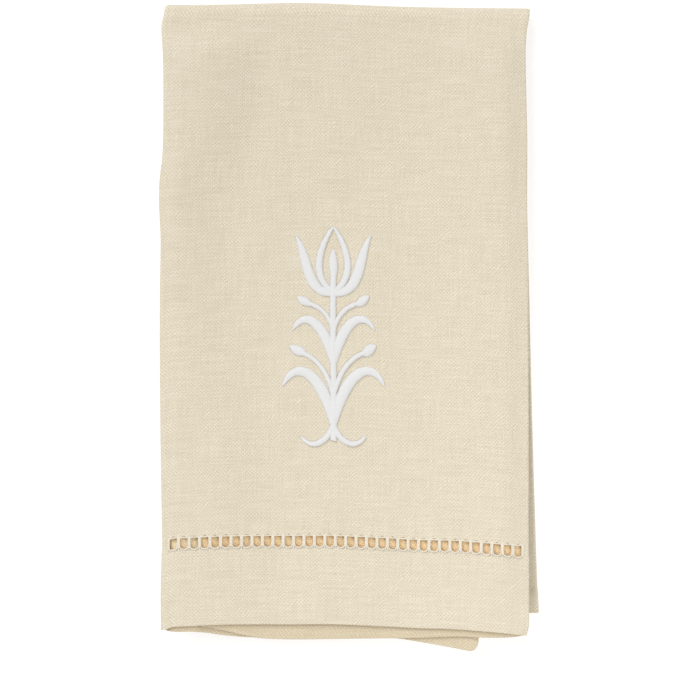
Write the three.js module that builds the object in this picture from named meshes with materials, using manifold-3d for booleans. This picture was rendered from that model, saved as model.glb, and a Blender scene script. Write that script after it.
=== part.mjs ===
// A linen guest towel, folded in three lengthwise and then doubled over, with a hemstitched
// border and a white embroidered sprig. Millimetres, +Z up. The towel lies on its back half:
// the top fold is at +Y, the hem at -Y, and the front panel faces +Z.
import * as THREE from "three";
import Module from "manifold-3d";

const manifold = await Module();
manifold.setup();

// The cloth and how tightly it is folded
const CLOTH_THICKNESS = 1.0;
const HEM_THICKNESS = 1.25;
const LAYER_PITCH = 1.6; // from the middle of one layer to the middle of the next
const INNER_RADIUS = 0.8; // of the innermost layer where it turns over the top fold

// The folded outline
const LEFT_EDGE = -67.7;
const RIGHT_EDGE = 64.0;
const RIGHT_FLAP_WIDTH = 115.3; // folded in first, directly behind the front panel
const LEFT_FLAP_WIDTH = 113.8; // folded in last, behind the right flap
const TOP_EDGE = 116.2;
const TOP_TILT = 1.3; // the right end of the top edge sits this much lower
const TOP_HUMP = 1.2; // and it rises this much a little left of its middle
const TOP_HUMP_AT = 0.38;
const TOP_HUMP_OVER = 0.2;
const HEM_LINE_LEFT = -109.2;
const HEM_LINE_RIGHT = -111.2;
const BACK_HEM_LINE = -103.6;
const BACK_SKEW = 3.9; // the back half drifts this far to the right by its hem
const BACK_SKEW_POWER = 2.1;

// How the two lengthwise folds wander: the height, and how far the fold lies to the right there
const LEFT_FOLD = [
  [-110, 0.4], [-92, 0.45], [-80, 0.75], [-55, 0.4], [-26, 0], [10, -0.1], [31, 0.2], [44, -0.35],
  [53, -0.15], [60, 0.7], [67, 1.1], [96, 1.1], [105, 0.5], [108, 0.3], [113, 1.3], [116, 1.6],
];
const RIGHT_FOLD = [
  [-110, 0], [0, -0.1], [31, -0.35], [46, -0.55], [67, -0.5], [96, -1.1], [105, -0.8], [111, 0.2], [116, 0.9],
];

// How each layer's lower edge leaves the straight line between the two folds: the distance from the
// fold that the layer hangs from, and how far its edge lies above that line there
const FRONT_HEM_EDGE = [
  [0, 0], [3, 1.2], [9, 1.6], [22, 2.3], [45, 2.6], [60, 2.9], [78, 2.5], [92, 2.0], [106, 1.9],
  [120, 1.1], [131.7, 0.1],
];
const RIGHT_FLAP_EDGE = [
  [0, 0], [4, -0.6], [14, -0.75], [24, -0.4], [38, -1.0], [60, -1.25], [82, -1.55], [94, -1.2],
  [100, -0.3], [108, 1.5], [115.3, 3.0],
];
const LEFT_FLAP_EDGE = [
  [0, 0], [3, -0.5], [6.5, -0.7], [10, -0.55], [16, -1.1], [24, -2.2], [34, -2.9], [60, -3.0],
  [82, -3.1], [94, -4.7], [104, -6.4], [109, -7.35], [111.3, -7.65], [112.5, -7.1], [113.3, -6.0],
  [113.8, -4.2],
];
const EDGE_SHAPE_FADE = 1.5; // power by which these shapes fade out towards the top fold

// Soft relief of the front layers: a roll along the left fold and a ridge along the right one
const ROLL_HEIGHT = 2.9;
const ROLL_GROWS_BY = 0.4; // towards the top fold
const ROLL_GROWS_FROM = [0, 60];
const ROLL_AT_FOLD = 0.6; // share of its height reached at the left fold already
const ROLL_RISE = 6.5;
const ROLL_FALL_AT = -39;
const ROLL_FALL_WIDTH = 26;
const ROLL_NARROWS_BY = 16;
const ROLL_NARROWS_AT = 25;
const ROLL_NARROWS_OVER = 45;
const RIDGE_HEIGHT = 3.0;
const RIDGE_FOOT = 18;
const RIDGE_CREST = 55;
const RIDGE_AT_FOLD = 0.4; // share of its height left at the right fold
const RELIEF_FADE_START = 18; // below the top edge
const RELIEF_FADE_END = 6;
const RELIEF_LOSS = 0.1; // share of it that each layer behind the front one loses
const MOUTH_LIFT = 0.4; // the front hem stands off the layers behind it
const MOUTH_DEPTH = 60;

// The left flap rises next to its fold, where the right flap doesn't reach in between
const BULGE_HEIGHT = 1.5;
const BULGE_RISE = [1.7, 5.0];
const BULGE_FALL = [11.0, 15.5];

// Hems and the hemstitched row
const SIDE_HEM = 5;
const BACK_HEM = 8;
const HEM_RAMP = 1.2;
const HEM_DEPTH = 28; // up to the lower end of the hemstitch holes
const HOLE_HEIGHT = 4.0;
const HOLE_WIDTH = 2.6;
const HOLE_PITCH = 3.77;
const HOLE_COUNT = 34; // all on the front panel
const HOLE_MARGIN = 1.55; // clear cloth between the left fold's turn and the first hole

// The embroidered sprig
const SPRIG_CENTRE = new THREE.Vector2(-5.8, -3.6);
const SPRIG_CLEARANCE = 0.3;
const SPRIG_EDGE = 0.3; // height of a stitch at its edge
const SPRIG_DOME = 0.55; // how much more it stands up in its middle
const SPRIG_STEP = 2.6;
const SPRIG_TOLERANCE = 0.05; // joints between stitched shapes are cleaned up to this

const LINEN = new THREE.MeshStandardMaterial({ color: 0xe4dac4, roughness: 0.92, metalness: 0 });
const WHITE_THREAD = new THREE.MeshStandardMaterial({ color: 0xf8f8f7, roughness: 0.6, metalness: 0 });

// Worked-out lengths: across the cloth, and along it
const LEFT_TURN_RADIUS = LAYER_PITCH;
const RIGHT_TURN_RADIUS = LAYER_PITCH / 2;
const OUTER_RADIUS = INNER_RADIUS + 2 * LAYER_PITCH;
const ACROSS = {
  leftFlap: LEFT_FLAP_WIDTH - LEFT_TURN_RADIUS,
  leftTurn: Math.PI * LEFT_TURN_RADIUS,
  front: RIGHT_EDGE - LEFT_EDGE - LEFT_TURN_RADIUS - RIGHT_TURN_RADIUS,
  rightTurn: Math.PI * RIGHT_TURN_RADIUS,
  rightFlap: RIGHT_FLAP_WIDTH - RIGHT_TURN_RADIUS,
};
const LEFT_TURN_START = ACROSS.leftFlap;
const FRONT_START = LEFT_TURN_START + ACROSS.leftTurn;
const RIGHT_TURN_START = FRONT_START + ACROSS.front;
const RIGHT_FLAP_START = RIGHT_TURN_START + ACROSS.rightTurn;
const CLOTH_WIDTH = RIGHT_FLAP_START + ACROSS.rightFlap;
const ARC_LINE = TOP_EDGE - OUTER_RADIUS - CLOTH_THICKNESS / 2;
const FRONT_LENGTH = ARC_LINE - (HEM_LINE_LEFT + HEM_LINE_RIGHT) / 2;
const ARC_LENGTH = Math.PI * (INNER_RADIUS + LAYER_PITCH);
const BACK_START = FRONT_LENGTH + ARC_LENGTH;
const CLOTH_LENGTH = BACK_START + ARC_LINE - BACK_HEM_LINE;
const ARC_HEIGHT = OUTER_RADIUS + CLOTH_THICKNESS / 2;

const { lerp, smoothstep } = THREE.MathUtils;

// The value at a place of a smooth curve through rows of [place, value].
function curveAt(rows, place) {
  const last = rows.length - 1;
  if (place <= rows[0][0]) return rows[0][1];
  if (place >= rows[last][0]) return rows[last][1];
  const slope = (i) => {
    const [before, after] = [rows[Math.max(i - 1, 0)], rows[Math.min(i + 1, last)]];
    return (after[1] - before[1]) / (after[0] - before[0]);
  };
  const i = rows.findIndex((row) => row[0] > place) - 1;
  const [low, high] = [rows[i], rows[i + 1]];
  const span = high[0] - low[0];
  const t = (place - low[0]) / span;
  return low[1] * (1 + 2 * t) * (1 - t) ** 2 + high[1] * t * t * (3 - 2 * t)
    + span * (slope(i) * t * (1 - t) ** 2 - slope(i + 1) * t * t * (1 - t));
}

// Where a line along the cloth lies in the folded cross-section: its place between the two folds
// (mix and offset), how deep its layer is behind the front one, and its share of the way to the
// panel's far side.
function acrossPlace(u) {
  if (u < LEFT_TURN_START) {
    const inward = LEFT_TURN_START - u;
    const offset = LEFT_TURN_RADIUS + inward;
    return { panel: "left", mix: 0, offset, depth: 2 * LAYER_PITCH, from: offset };
  }
  if (u < FRONT_START) {
    const angle = (u - LEFT_TURN_START) / LEFT_TURN_RADIUS;
    const offset = LEFT_TURN_RADIUS * (1 - Math.sin(angle));
    return { panel: "turn", mix: 0, offset, depth: LEFT_TURN_RADIUS * (1 + Math.cos(angle)), from: 0 };
  }
  if (u <= RIGHT_TURN_START) {
    const mix = (u - FRONT_START) / ACROSS.front;
    return { panel: "front", mix, offset: lerp(LEFT_TURN_RADIUS, -RIGHT_TURN_RADIUS, mix), depth: 0, from: mix };
  }
  if (u < RIGHT_FLAP_START) {
    const angle = (u - RIGHT_TURN_START) / RIGHT_TURN_RADIUS;
    const offset = RIGHT_TURN_RADIUS * (Math.sin(angle) - 1);
    return { panel: "turn", mix: 1, offset, depth: RIGHT_TURN_RADIUS * (1 - Math.cos(angle)), from: 0 };
  }
  const inward = RIGHT_TURN_RADIUS + u - RIGHT_FLAP_START;
  return { panel: "right", mix: 1, offset: -inward, depth: LAYER_PITCH, from: inward };
}

// How far a panel's lower edge lies above the line between the two folds.
function edgeShape({ panel, from }) {
  if (panel === "front") return curveAt(FRONT_HEM_EDGE, from * (RIGHT_EDGE - LEFT_EDGE));
  if (panel === "right") return curveAt(RIGHT_FLAP_EDGE, from);
  if (panel === "left") return curveAt(LEFT_FLAP_EDGE, from);
  return 0;
}

// Height of the soft relief of the front panel.
function relief(x, y, left, right) {
  const narrowing = Math.exp(-(((y - ROLL_NARROWS_AT) / ROLL_NARROWS_OVER) ** 2));
  const fallAt = ROLL_FALL_AT - ROLL_NARROWS_BY * narrowing;
  const roll = lerp(ROLL_AT_FOLD, 1, smoothstep(x, left, left + ROLL_RISE))
    * (1 - smoothstep(x, fallAt - ROLL_FALL_WIDTH / 2, fallAt + ROLL_FALL_WIDTH / 2));
  const beyondCrest = smoothstep(x, RIDGE_CREST, right);
  const ridge = smoothstep(x, RIDGE_FOOT, RIDGE_CREST) * lerp(1, RIDGE_AT_FOLD, beyondCrest);
  const fade = 1 - smoothstep(y, TOP_EDGE - RELIEF_FADE_START, TOP_EDGE - RELIEF_FADE_END);
  const growth = 1 + ROLL_GROWS_BY * smoothstep(y, ...ROLL_GROWS_FROM);
  return (ROLL_HEIGHT * growth * roll + RIDGE_HEIGHT * ridge) * fade;
}

// The middle of the cloth at a place across it (u) and along it (v).
function clothPoint(u, v) {
  const place = acrossPlace(u);
  const radius = OUTER_RADIUS - place.depth;
  const hump = TOP_HUMP * Math.exp(-(((place.mix - TOP_HUMP_AT) / TOP_HUMP_OVER) ** 2));
  const arcLine = ARC_LINE - TOP_TILT * place.mix + hump;
  if (v > BACK_START) {
    const share = (v - BACK_START) / (CLOTH_LENGTH - BACK_START);
    const skew = BACK_SKEW * share ** BACK_SKEW_POWER;
    const y = lerp(arcLine, BACK_HEM_LINE, share);
    const left = LEFT_EDGE + curveAt(LEFT_FOLD, y) + skew;
    const right = RIGHT_EDGE + curveAt(RIGHT_FOLD, y) + skew;
    const lift = (clothThickness(FRONT_START + ACROSS.front / 2, v) - CLOTH_THICKNESS) / 2;
    return new THREE.Vector3(lerp(left, right, place.mix) + place.offset, y, ARC_HEIGHT - radius + lift);
  }
  const angle = Math.max(0, ((v - FRONT_LENGTH) / ARC_LENGTH) * Math.PI);
  const share = Math.min(1, v / FRONT_LENGTH);
  const hemLine = lerp(HEM_LINE_LEFT, HEM_LINE_RIGHT, place.mix);
  const shape = edgeShape(place) * (1 - share ** EDGE_SHAPE_FADE);
  const y = lerp(hemLine, arcLine, share) + shape + radius * Math.sin(angle);
  const left = LEFT_EDGE + curveAt(LEFT_FOLD, y);
  const right = RIGHT_EDGE + curveAt(RIGHT_FOLD, y);
  const x = lerp(left, right, place.mix) + place.offset;
  let z = ARC_HEIGHT + radius * Math.cos(angle);
  z += relief(x, y, left, right) * (1 - RELIEF_LOSS * (place.depth / LAYER_PITCH));
  if (place.panel === "front")
    z += MOUTH_LIFT * Math.sin(Math.PI * place.from) ** 2 * (1 - smoothstep(v, 0, MOUTH_DEPTH));
  if (place.panel === "left")
    z += BULGE_HEIGHT * smoothstep(place.from, ...BULGE_RISE) * (1 - smoothstep(place.from, ...BULGE_FALL));
  return new THREE.Vector3(x, y, z);
}

// Thickness: the cloth is doubled along its hems.
function clothThickness(u, v) {
  const edges = [
    smoothstep(u, SIDE_HEM, SIDE_HEM + HEM_RAMP),
    smoothstep(CLOTH_WIDTH - u, SIDE_HEM, SIDE_HEM + HEM_RAMP),
    smoothstep(v, HEM_DEPTH, HEM_DEPTH + HEM_RAMP),
    smoothstep(CLOTH_LENGTH - v, BACK_HEM, BACK_HEM + HEM_RAMP),
  ];
  return lerp(HEM_THICKNESS, CLOTH_THICKNESS, Math.min(...edges));
}

// The direction that the cloth's right side faces.
function clothNormal(u, v) {
  const reach = 0.02;
  const acrossStep = clothPoint(Math.min(u + reach, CLOTH_WIDTH), v).sub(clothPoint(Math.max(u - reach, 0), v));
  const alongStep = clothPoint(u, Math.min(v + reach, CLOTH_LENGTH)).sub(clothPoint(u, Math.max(v - reach, 0)));
  return acrossStep.cross(alongStep).normalize();
}

// Evenly spaced values from one to another, with the last one left out.
function steps(from, to, count) {
  return Array.from({ length: count }, (_, i) => lerp(from, to, i / count));
}

// Where the columns of the plain grid run.
function plainColumns() {
  return [
    ...[0, 0.5, 1.2, 2.2, 3.6, SIDE_HEM],
    ...steps(SIDE_HEM + HEM_RAMP, LEFT_TURN_START - 16, 8),
    ...[16, 13.5, 11, 5, 3.4, 1.7].map((reach) => LEFT_TURN_START - reach),
    ...steps(LEFT_TURN_START, FRONT_START, 7),
    ...steps(FRONT_START, FRONT_START + 3, 2),
    ...steps(FRONT_START + 3, RIGHT_TURN_START, 16),
    ...steps(RIGHT_TURN_START, RIGHT_FLAP_START, 6),
    ...steps(RIGHT_FLAP_START, CLOTH_WIDTH - SIDE_HEM - HEM_RAMP, 8),
    CLOTH_WIDTH - SIDE_HEM - HEM_RAMP,
    CLOTH_WIDTH - SIDE_HEM,
    CLOTH_WIDTH,
  ];
}

// The two sides of each hemstitch hole.
const HOLES = Array.from({ length: HOLE_COUNT }, (_, i) => {
  const side = FRONT_START + HOLE_MARGIN + i * HOLE_PITCH;
  return [side, side + HOLE_WIDTH];
});

// The columns of the hemstitched row: the sides of its holes, and the plain ones beside them.
function hemstitchColumns(plain) {
  const kept = plain.filter((u) => u < HOLES[0][0] - 0.1 || u > HOLES.at(-1)[1] + 0.1);
  return [...kept, ...HOLES.flat()].sort((a, b) => a - b);
}

// The rows of the grid, from the front hem over the top fold to the back hem.
function clothRows() {
  const plain = plainColumns();
  const stitched = hemstitchColumns(plain);
  const row = (columns) => (v) => ({ v, columns });
  return [
    ...steps(0, HEM_DEPTH, 4).map(row(plain)),
    ...[HEM_DEPTH, HEM_DEPTH + HOLE_HEIGHT].map(row(stitched)),
    ...steps(HEM_DEPTH + HOLE_HEIGHT + 3, FRONT_LENGTH - RELIEF_FADE_START, 10).map(row(plain)),
    ...steps(FRONT_LENGTH - RELIEF_FADE_START, FRONT_LENGTH, 5).map(row(plain)),
    ...steps(FRONT_LENGTH, BACK_START, 8).map(row(plain)),
    ...steps(BACK_START, CLOTH_LENGTH - BACK_HEM - HEM_RAMP, 7).map(row(plain)),
    ...[CLOTH_LENGTH - BACK_HEM - HEM_RAMP, CLOTH_LENGTH - BACK_HEM, CLOTH_LENGTH].map(row(plain)),
  ];
}

// Triangles between two rows whose columns need not match; in the hemstitched row, holes stay open.
function stitchRows(lower, upper, lowerStart, upperStart, triangles) {
  const holed = lower.columns === upper.columns && lower.v === HEM_DEPTH;
  let i = 0;
  let j = 0;
  while (i < lower.columns.length - 1 || j < upper.columns.length - 1) {
    const nextLower = lower.columns[i + 1] ?? Infinity;
    const nextUpper = upper.columns[j + 1] ?? Infinity;
    const lowerMoves = nextLower <= nextUpper;
    const middle = lowerMoves ? (lower.columns[i] + nextLower) / 2 : (upper.columns[j] + nextUpper) / 2;
    const open = holed && HOLES.some(([a, b]) => middle > a && middle < b);
    if (lowerMoves) {
      if (!open) triangles.push([lowerStart + i, lowerStart + i + 1, upperStart + j]);
      i += 1;
    } else {
      if (!open) triangles.push([lowerStart + i, upperStart + j + 1, upperStart + j]);
      j += 1;
    }
  }
}

// A closed geometry from one face of a sheet and the matching points of its other face.
function sheetGeometry(facePoints, backPoints, triangles) {
  const count = facePoints.length;
  const index = [];
  const edges = new Map();
  for (const [a, b, c] of triangles) {
    index.push(a, b, c, c + count, b + count, a + count);
    for (const [from, to] of [[a, b], [b, c], [c, a]]) edges.set(from + "," + to, [from, to]);
  }
  for (const [from, to] of edges.values())
    if (!edges.has(to + "," + from))
      index.push(to, from, from + count, to, from + count, to + count);
  const geometry = new THREE.BufferGeometry().setFromPoints([...facePoints, ...backPoints]);
  geometry.setIndex(index);
  geometry.computeVertexNormals();
  return geometry;
}

// The whole towel as one folded sheet.
function clothGeometry() {
  const rows = clothRows();
  const facePoints = [];
  const backPoints = [];
  const triangles = [];
  const starts = rows.map(({ v, columns }) => {
    const start = facePoints.length;
    for (const u of columns) {
      const middle = clothPoint(u, v);
      const offset = clothNormal(u, v).multiplyScalar(clothThickness(u, v) / 2);
      facePoints.push(middle.clone().add(offset));
      backPoints.push(middle.sub(offset));
    }
    return start;
  });
  for (let i = 0; i < rows.length - 1; i += 1)
    stitchRows(rows[i], rows[i + 1], starts[i], starts[i + 1], triangles);
  return sheetGeometry(facePoints, backPoints, triangles);
}

// Height of the front panel's right side under a point of the embroidery.
function frontSurface(x, y) {
  const left = LEFT_EDGE + curveAt(LEFT_FOLD, y);
  const right = RIGHT_EDGE + curveAt(RIGHT_FOLD, y);
  const share = (x - left) / (right - left);
  const hemLine = lerp(HEM_LINE_LEFT, HEM_LINE_RIGHT, share);
  const up = y - hemLine;
  const mouth = MOUTH_LIFT * Math.sin(Math.PI * share) ** 2 * (1 - smoothstep(up, 0, MOUTH_DEPTH));
  return ARC_HEIGHT + OUTER_RADIUS + CLOTH_THICKNESS / 2 + relief(x, y, left, right) + mouth;
}

// The sprig's right half and its middle, from the foot up: a row for each stitched shape, with the
// four points of its curve from the sprig's centre, its greatest half width, and how far it tapers.
const SPRIG_SIDE = [
  { name: "root curl", curve: [[0, -31], [1.5, -38], [8, -41.5], [11.5, -36]], half: 1.1, taper: 0.7 },
  { name: "lower leaf", curve: [[0, -32], [3, -15], [13, -6], [18.4, -18]], half: 2.1, taper: 1 },
  { name: "lower stalk", curve: [[0, -22], [2, -12], [6.5, -7.5], [11.5, -5.8]], half: 0.9, taper: 0 },
  { name: "lower berry", curve: [[10.6, -6.4], [12.1, -5.4], [13.9, -4.4], [15.4, -3.2]], half: 1.9, taper: 1 },
  { name: "upper leaf", curve: [[0, -10], [2.5, 4], [10, 11], [14.8, 2.2]], half: 1.9, taper: 1 },
  { name: "upper stalk", curve: [[0, 2], [1.5, 8], [5, 11], [9, 11.8]], half: 0.85, taper: 0 },
  { name: "upper berry", curve: [[8.4, 11.5], [9.8, 12.2], [11.6, 13.4], [12.8, 14.6]], half: 1.6, taper: 1 },
  { name: "outer petal", curve: [[0, 15.5], [10.5, 15.5], [8.5, 28], [13.6, 36.5]], half: 1.9, taper: 1 },
  { name: "inner petal", curve: [[0, 16], [6.6, 20], [7, 29], [0.2, 39.3]], half: 1.25, taper: 0.7 },
];
const SPRIG_MIDDLE = [
  { name: "stem", curve: [[0, -37.5], [0.5, -20], [-0.5, 0], [0, 23]], half: 1.15, taper: 0 },
  { name: "heart", curve: [[0, 21], [0, 24], [0, 28], [0, 31.5]], half: 1.6, taper: 1 },
];
const SPRIG_TIP = 0.3; // half width left at a tapered tip

// A padded satin-stitch shape along a curve, as a closed solid that follows the cloth.
function satinSolid({ curve, half, taper }, mirror) {
  const points = curve.map(([x, y]) => new THREE.Vector2(mirror * x, y).add(SPRIG_CENTRE));
  const path = new THREE.CubicBezierCurve(...points);
  const sections = Math.max(3, Math.round(path.getLength() / SPRIG_STEP));
  const profile = [[-1, 0], [1, 0], [1, SPRIG_EDGE], [0, SPRIG_EDGE + SPRIG_DOME], [-1, SPRIG_EDGE]];
  const vertices = [];
  const index = [];
  for (let i = 0; i <= sections; i += 1) {
    const share = i / sections;
    const centre = path.getPointAt(share);
    const tangent = path.getTangentAt(share);
    const swell = Math.sin(Math.PI * Math.min(1, 0.12 + share * 0.88)) ** 0.6;
    const width = Math.max(SPRIG_TIP, half * lerp(1, swell, taper));
    for (const [sideways, height] of profile) {
      const x = centre.x - tangent.y * sideways * width;
      const y = centre.y + tangent.x * sideways * width;
      vertices.push(x, y, frontSurface(x, y) + SPRIG_CLEARANCE + height);
    }
  }
  const ring = profile.length;
  for (let i = 0; i < sections; i += 1)
    for (let k = 0; k < ring; k += 1) {
      const a = i * ring + k;
      const b = i * ring + ((k + 1) % ring);
      index.push(a, b, b + ring, a, b + ring, a + ring);
    }
  for (let k = 1; k < ring - 1; k += 1) {
    index.push(0, k + 1, k);
    index.push(sections * ring, sections * ring + k, sections * ring + k + 1);
  }
  return new manifold.Manifold(new manifold.Mesh({
    numProp: 3,
    vertProperties: new Float32Array(vertices),
    triVerts: new Uint32Array(index),
  }));
}

// The sprig as one solid: its two mirrored halves joined along the stem.
function sprigGeometry() {
  const solids = [
    ...SPRIG_MIDDLE.map((shape) => satinSolid(shape, 1)),
    ...SPRIG_SIDE.flatMap((shape) => [satinSolid(shape, 1), satinSolid(shape, -1)]),
  ];
  const mesh = manifold.Manifold.union(solids).simplify(SPRIG_TOLERANCE).getMesh();
  const geometry = new THREE.BufferGeometry();
  geometry.setAttribute("position", new THREE.BufferAttribute(mesh.vertProperties, 3));
  geometry.setIndex(new THREE.BufferAttribute(mesh.triVerts, 1));
  geometry.computeVertexNormals();
  return geometry;
}

const towel = new THREE.Group();

const cloth = new THREE.Mesh(clothGeometry(), LINEN);
cloth.name = "towel_cloth";
towel.add(cloth);

const sprig = new THREE.Mesh(sprigGeometry(), WHITE_THREAD);
sprig.name = "embroidered_sprig";
towel.add(sprig);

// The origin is under the middle of the towel, on the surface it lies on.
const box = new THREE.Box3().setFromObject(towel);
const centre = box.getCenter(new THREE.Vector3());
towel.position.set(-centre.x, -centre.y, -box.min.z);

export default towel;
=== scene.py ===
"""Looks of a folded linen guest towel with a hemstitched border and a white embroidered sprig.

The classes work in millimetres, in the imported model's axes: the towel lies on its back half,
its top fold at +Y, its hem at -Y and its front panel facing +Z. A place on the cloth is named
by u, across it from the left flap's free edge, and v, along it from the front hem. Meshes are
made in metres.
"""

import logging
import math
from dataclasses import dataclass, field
from enum import Enum
from typing import NamedTuple

import bpy
import numpy as np
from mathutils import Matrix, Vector


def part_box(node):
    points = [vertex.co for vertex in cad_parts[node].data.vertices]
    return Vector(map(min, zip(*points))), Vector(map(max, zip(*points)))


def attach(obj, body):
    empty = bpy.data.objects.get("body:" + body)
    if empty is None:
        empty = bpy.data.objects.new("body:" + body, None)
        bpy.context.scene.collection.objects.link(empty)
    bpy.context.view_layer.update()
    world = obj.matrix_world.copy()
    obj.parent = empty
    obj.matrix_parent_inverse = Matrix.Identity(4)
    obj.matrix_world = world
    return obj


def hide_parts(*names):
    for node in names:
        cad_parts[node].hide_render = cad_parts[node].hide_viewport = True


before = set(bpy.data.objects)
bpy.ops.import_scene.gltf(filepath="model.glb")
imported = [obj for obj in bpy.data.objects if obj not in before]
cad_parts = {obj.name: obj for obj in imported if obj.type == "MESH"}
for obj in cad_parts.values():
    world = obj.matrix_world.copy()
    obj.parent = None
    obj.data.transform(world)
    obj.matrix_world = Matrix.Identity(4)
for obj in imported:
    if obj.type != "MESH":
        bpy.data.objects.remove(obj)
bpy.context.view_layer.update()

log = logging.getLogger("towel")

MM = 0.001
CLOTH_NODE = "towel_cloth"
SPRIG_NODE = "embroidered_sprig"
COORDINATES = "ClothCoordinates"
# Attribute of painted light and shade that a finish's colour is multiplied by.
PAINTED_LIGHT = "painted_light"
Pair = tuple[float, float]
Rows = tuple[Pair, ...]
Array = np.ndarray
Numbers = float | Array
Object = bpy.types.Object
Socket = bpy.types.NodeSocket
NOISE_MEAN = 0.5


def lerp(start: Numbers, end: Numbers, share: Numbers) -> Numbers:
    """Returns the value a share of the way from start to end."""
    return start + (end - start) * share


def smoothstep(value: Numbers, low: Numbers, high: Numbers) -> Numbers:
    """Eases from 0 at low to 1 at high.

    Args:
        value: number or array to ease.
        low: value at which the result is 0.
        high: value at which the result is 1.

    Returns:
        The eased share, with the shape of the value.
    """
    share = np.clip((value - low) / (high - low), 0.0, 1.0)
    return share * share * (3.0 - 2.0 * share)


def curve_at(rows: Rows, place: Array) -> Array:
    """Reads a smooth curve through given rows.

    Args:
        rows: pairs of a place and the value there, in order of place.
        place: where to read it.

    Returns:
        The values there, constant beyond the first and last rows.
    """
    places, values = np.array(rows, dtype=float).T
    count = len(places)
    before = np.maximum(np.arange(count) - 1, 0)
    after = np.minimum(np.arange(count) + 1, count - 1)
    slopes = (values[after] - values[before]) / (places[after] - places[before])
    place = np.clip(place, places[0], places[-1])
    low = np.clip(np.searchsorted(places, place, side="right") - 1, 0, count - 2)
    span = places[low + 1] - places[low]
    t = (place - places[low]) / span
    rise = span * (slopes[low] * t * (1 - t) ** 2 - slopes[low + 1] * t * t * (1 - t))
    return values[low] * (1 + 2 * t) * (1 - t) ** 2 + values[low + 1] * t * t * (3 - 2 * t) + rise


class Shade(NamedTuple):
    """A linear colour."""

    red: float
    green: float
    blue: float

    def rgba(self) -> tuple[float, float, float, float]:
        """Returns the colour with full alpha."""
        return (*self, 1.0)


WHITE = Shade(1.0, 1.0, 1.0)


class Panel(Enum):
    """The five stretches of the cloth's folded cross-section, from its left flap on."""

    LEFT_FLAP = 0
    LEFT_TURN = 1
    FRONT = 2
    RIGHT_TURN = 3
    RIGHT_FLAP = 4


class Across(NamedTuple):
    """Where lines along the cloth lie in the folded cross-section, as arrays."""

    panel: Array
    mix: Array
    offset: Array
    depth: Array
    reach: Array


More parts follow.
